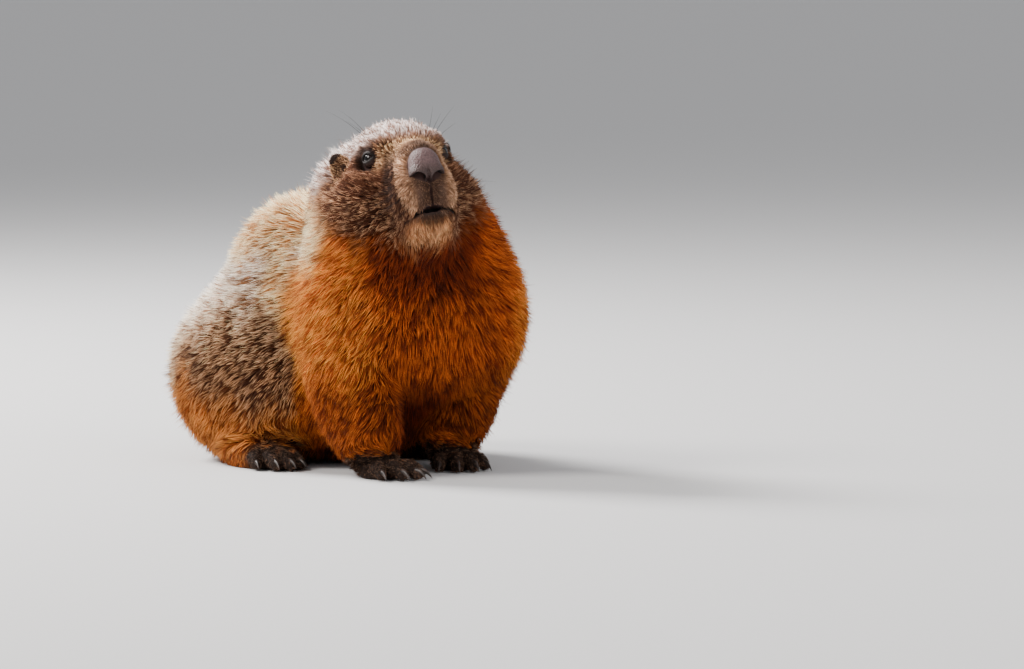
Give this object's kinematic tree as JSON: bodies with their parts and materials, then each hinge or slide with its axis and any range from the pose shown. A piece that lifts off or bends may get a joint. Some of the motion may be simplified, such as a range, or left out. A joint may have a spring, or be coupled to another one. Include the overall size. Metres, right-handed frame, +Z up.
{
  "type": "yellow-bellied marmot",
  "caption": "Life-size still model of a yellow-bellied marmot, crouched on all fours with its chest raised on straight forelegs and its head turned to its right.",
  "frame": {"origin": "on the floor, under the middle of the bounding box", "axes": "+Z up, -Y the way the animal faces, +X its left side"},
  "size_m": [0.2348, 0.3308, 0.2199],
  "materials": {
    "back_fur": "long grizzled guard hair, dull",
    "chest_fur": "long rust-orange hair, dull",
    "face_fur": "short dark-brown fur with pale tips, dull",
    "foot_fur": "very short grey-brown fur over bare soles, dull",
    "nose_skin": "bare pebbled skin, faintly moist",
    "eye": "wet, mirror-smooth"
  },
  "bodies": {
    "root": {"ear_right": "face_fur", "eye_right": "eye", "ear_left": "face_fur", "eye_left": "eye", "head": "face_fur", "lower_jaw": "face_fur", "nose": "nose_skin", "tail_root": "back_fur", "tail_tip": "back_fur", "foreleg_right": "chest_fur", "forepaw_right": "foot_fur", "thigh_right": "back_fur", "hind_foot_right": "foot_fur", "foreleg_left": "chest_fur", "forepaw_left": "foot_fur", "thigh_left": "back_fur", "hind_foot_left": "foot_fur", "neck": "chest_fur", "torso": "back_fur"}
  },
  "joints": []
}
